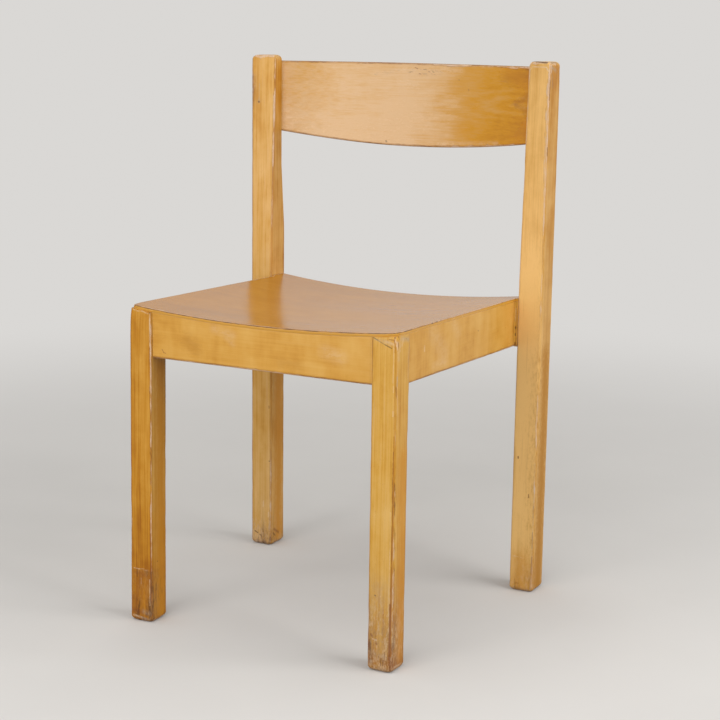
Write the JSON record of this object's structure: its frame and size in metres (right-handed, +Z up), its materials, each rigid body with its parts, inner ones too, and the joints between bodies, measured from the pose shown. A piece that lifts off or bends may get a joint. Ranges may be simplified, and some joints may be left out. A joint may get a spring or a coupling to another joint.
{
  "type": "wooden side chair",
  "caption": "Armless wooden side chair with square legs, a hollowed plywood seat on a railed frame, and a curved plywood backrest held in the rebates of its two upright posts.",
  "frame": {"origin": "on the floor, under the middle of the chair's box", "axes": "+Z up, +Y from the front of the seat towards the backrest, +X to the right as seen from in front of the chair; left and right in the names are as seen from in front"},
  "size_m": [0.4936, 0.4534, 0.786],
  "materials": {
    "lacquered_beech": "worn clear lacquer, satin",
    "lacquered_beech_rail": "aged clear lacquer, satin",
    "seat_plywood": "beech-faced plywood, worn satin lacquer",
    "backrest_plywood": "beech-faced plywood, satin lacquer",
    "bare_beech": "unfinished, sawn",
    "screw_steel": "dull, oxidised"
  },
  "bodies": {
    "root": {"seat_panel": "seat_plywood", "backrest": "backrest_plywood", "front_left_leg": "lacquered_beech", "front_right_leg": "lacquered_beech", "back_left_post": "lacquered_beech", "back_right_post": "lacquered_beech", "front_rail": "lacquered_beech_rail", "left_side_rail": "lacquered_beech_rail", "right_side_rail": "lacquered_beech_rail", "back_rail": "lacquered_beech_rail", "front_left_corner_block": "bare_beech", "front_right_corner_block": "bare_beech", "back_left_corner_block": "bare_beech", "back_right_corner_block": "bare_beech", "front_left_block_screw_1": "screw_steel", "front_left_block_screw_2": "screw_steel", "front_right_block_screw_1": "screw_steel", "front_right_block_screw_2": "screw_steel", "back_left_block_screw_1": "screw_steel", "back_left_block_screw_2": "screw_steel", "back_right_block_screw_1": "screw_steel", "back_right_block_screw_2": "screw_steel", "backrest_left_screw_1": "screw_steel", "backrest_left_screw_2": "screw_steel", "backrest_right_screw_1": "screw_steel", "backrest_right_screw_2": "screw_steel", "dowel_front_left_low": "bare_beech", "dowel_front_left_high": "bare_beech", "dowel_front_right_low": "bare_beech", "dowel_front_right_high": "bare_beech", "dowel_left_front_low": "bare_beech", "dowel_left_front_high": "bare_beech", "dowel_right_front_low": "bare_beech", "dowel_right_front_high": "bare_beech", "dowel_left_back_low": "bare_beech", "dowel_left_back_high": "bare_beech", "dowel_right_back_low": "bare_beech", "dowel_right_back_high": "bare_beech", "dowel_back_left_low": "bare_beech", "dowel_back_left_high": "bare_beech", "dowel_back_right_low": "bare_beech", "dowel_back_right_high": "bare_beech"}
  },
  "joints": []
}
